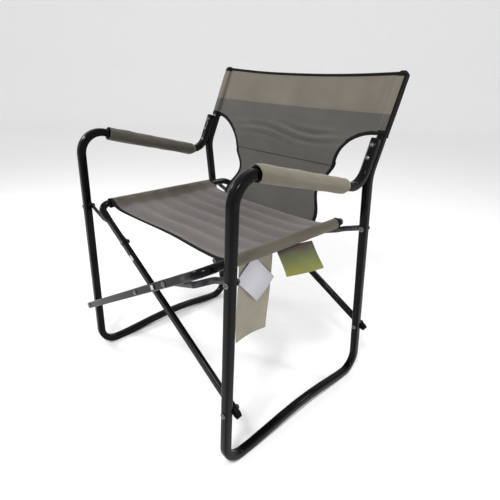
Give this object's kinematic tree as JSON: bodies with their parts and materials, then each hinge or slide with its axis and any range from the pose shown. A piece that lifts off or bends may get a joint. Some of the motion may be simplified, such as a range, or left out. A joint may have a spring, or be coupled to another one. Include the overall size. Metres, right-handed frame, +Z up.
{
  "type": "folding camp chair",
  "caption": "Folding camp armchair: two bent side frames joined by crossed leg frames, with padded arms and a fabric seat and back.",
  "frame": {"origin": "on the floor, under the middle of the chair's bounding box", "axes": "+Z up, -Y the way the sitter faces, +X the sitter's left"},
  "size_m": [0.6476, 0.5756, 0.8267],
  "materials": {
    "black_tube": "gloss black powder coat",
    "grey_strap": "satin dark grey",
    "bright_fastener": "polished",
    "black_plastic": "moulded, satin",
    "black_foam": "matt closed-cell foam",
    "taupe_fabric": "woven polyester",
    "grey_fabric": "woven polyester with dark binding",
    "cream_label": "thin woven tape, blank",
    "white_card": "plain card",
    "tinted_card": "plain tinted card"
  },
  "bodies": {
    "side_left": {"side_frame_left": "black_tube", "arm_rivet_lower_left": "bright_fastener", "arm_rivet_upper_left": "bright_fastener", "arm_foam_left": "black_foam", "arm_cover_left": "taupe_fabric", "back_sleeve_left": "taupe_fabric", "back_panel": "grey_fabric", "back_tongue": "grey_fabric", "lower_front_left_spacer": "black_plastic", "lower_front_left_bolt": "bright_fastener", "lower_front_left_cap": "black_plastic", "link_post_front_left_bolt": "bright_fastener", "link_post_front_left_cap": "black_plastic", "lower_rear_left_spacer": "black_plastic", "lower_rear_left_bolt": "bright_fastener", "lower_rear_left_cap": "black_plastic", "link_post_rear_left_bolt": "bright_fastener", "link_post_rear_left_cap": "black_plastic"},
    "leg_right": {"leg_frame_right": "black_tube", "seat_sleeve_right": "taupe_fabric", "seat_panel": "grey_fabric", "centre_front_spacer": "black_plastic", "centre_front_bolt": "bright_fastener", "centre_front_cap": "black_plastic", "link_leg_front_right_screw": "bright_fastener", "centre_rear_spacer": "black_plastic", "centre_rear_bolt": "bright_fastener", "centre_rear_cap": "black_plastic", "link_leg_rear_right_screw": "bright_fastener"},
    "leg_left": {"leg_frame_left": "black_tube", "seat_sleeve_left": "taupe_fabric", "link_leg_front_left_screw": "bright_fastener", "link_leg_rear_left_screw": "bright_fastener"},
    "side_right": {"side_frame_right": "black_tube", "arm_rivet_lower_right": "bright_fastener", "arm_rivet_upper_right": "bright_fastener", "arm_foam_right": "black_foam", "arm_cover_right": "taupe_fabric", "back_sleeve_right": "taupe_fabric", "lower_front_right_spacer": "black_plastic", "lower_front_right_bolt": "bright_fastener", "lower_front_right_cap": "black_plastic", "link_post_front_right_bolt": "bright_fastener", "link_post_front_right_cap": "black_plastic", "lower_rear_right_spacer": "black_plastic", "lower_rear_right_bolt": "bright_fastener", "lower_rear_right_cap": "black_plastic", "link_post_rear_right_bolt": "bright_fastener", "link_post_rear_right_cap": "black_plastic"},
    "link_front_left_body": {"link_front_left": "grey_strap", "link_leg_front_left_stud": "black_plastic"},
    "link_front_right_body": {"link_front_right": "grey_strap", "link_leg_front_right_stud": "black_plastic"},
    "link_rear_left_body": {"link_rear_left": "grey_strap", "link_leg_rear_left_stud": "black_plastic"},
    "link_rear_right_body": {"link_rear_right": "grey_strap", "link_leg_rear_right_stud": "black_plastic"},
    "labels": {"care_label": "cream_label", "hang_card_plain": "white_card", "hang_card_tinted": "tinted_card"}
  },
  "joints": [
    {"name": "fold", "type": "hinge", "parent": "side_left", "child": "leg_right", "pos_m": [0.3, -0.01277, 0.155], "axis": [0, 1, 0], "range_deg": [0, 45], "deforming": ["seat_panel", "back_panel", "back_tongue"]},
    {"name": "scissor", "type": "hinge", "parent": "leg_right", "child": "leg_left", "pos_m": [0, -0.01277, 0.32821], "axis": [0, 1, 0], "range_deg": [-90.01, 0]},
    {"name": "frame_shift", "type": "hinge", "parent": "leg_left", "child": "side_right", "pos_m": [-0.3, -0.01277, 0.155], "axis": [0, 1, 0], "range_deg": [0, 45.01]},
    {"name": "link_front_left_swing", "type": "hinge", "parent": "side_left", "child": "link_front_left_body", "pos_m": [0.3, -0.23707, 0.46], "axis": [0, 1, 0], "range_deg": [0, 92.1]},
    {"name": "link_front_right_swing", "type": "hinge", "parent": "side_right", "child": "link_front_right_body", "pos_m": [-0.3, -0.23707, 0.46], "axis": [0, 1, 0], "range_deg": [-92.1, 0]},
    {"name": "link_rear_left_swing", "type": "hinge", "parent": "side_left", "child": "link_rear_left_body", "pos_m": [0.3, 0.20853, 0.46], "axis": [0, 1, 0], "range_deg": [0, 92.1]},
    {"name": "link_rear_right_swing", "type": "hinge", "parent": "side_right", "child": "link_rear_right_body", "pos_m": [-0.3, 0.20853, 0.46], "axis": [0, 1, 0], "range_deg": [-92.1, 0]},
    {"name": "label_swing", "type": "hinge", "parent": "leg_left", "child": "labels", "pos_m": [0.24993, -0.12277, 0.4725], "axis": [0, 1, 0], "range_deg": [0, 45.01]}
  ],
  "couplings": [
    {"joint": "scissor", "follows": "fold", "ratio": -2},
    {"joint": "frame_shift", "follows": "fold", "ratio": 1},
    {"joint": "link_front_left_swing", "follows": "fold", "ratio": 2.0464},
    {"joint": "link_front_right_swing", "follows": "fold", "ratio": -2.0464},
    {"joint": "link_rear_left_swing", "follows": "fold", "ratio": 2.0464},
    {"joint": "link_rear_right_swing", "follows": "fold", "ratio": -2.0464},
    {"joint": "label_swing", "follows": "fold", "ratio": 1}
  ]
}
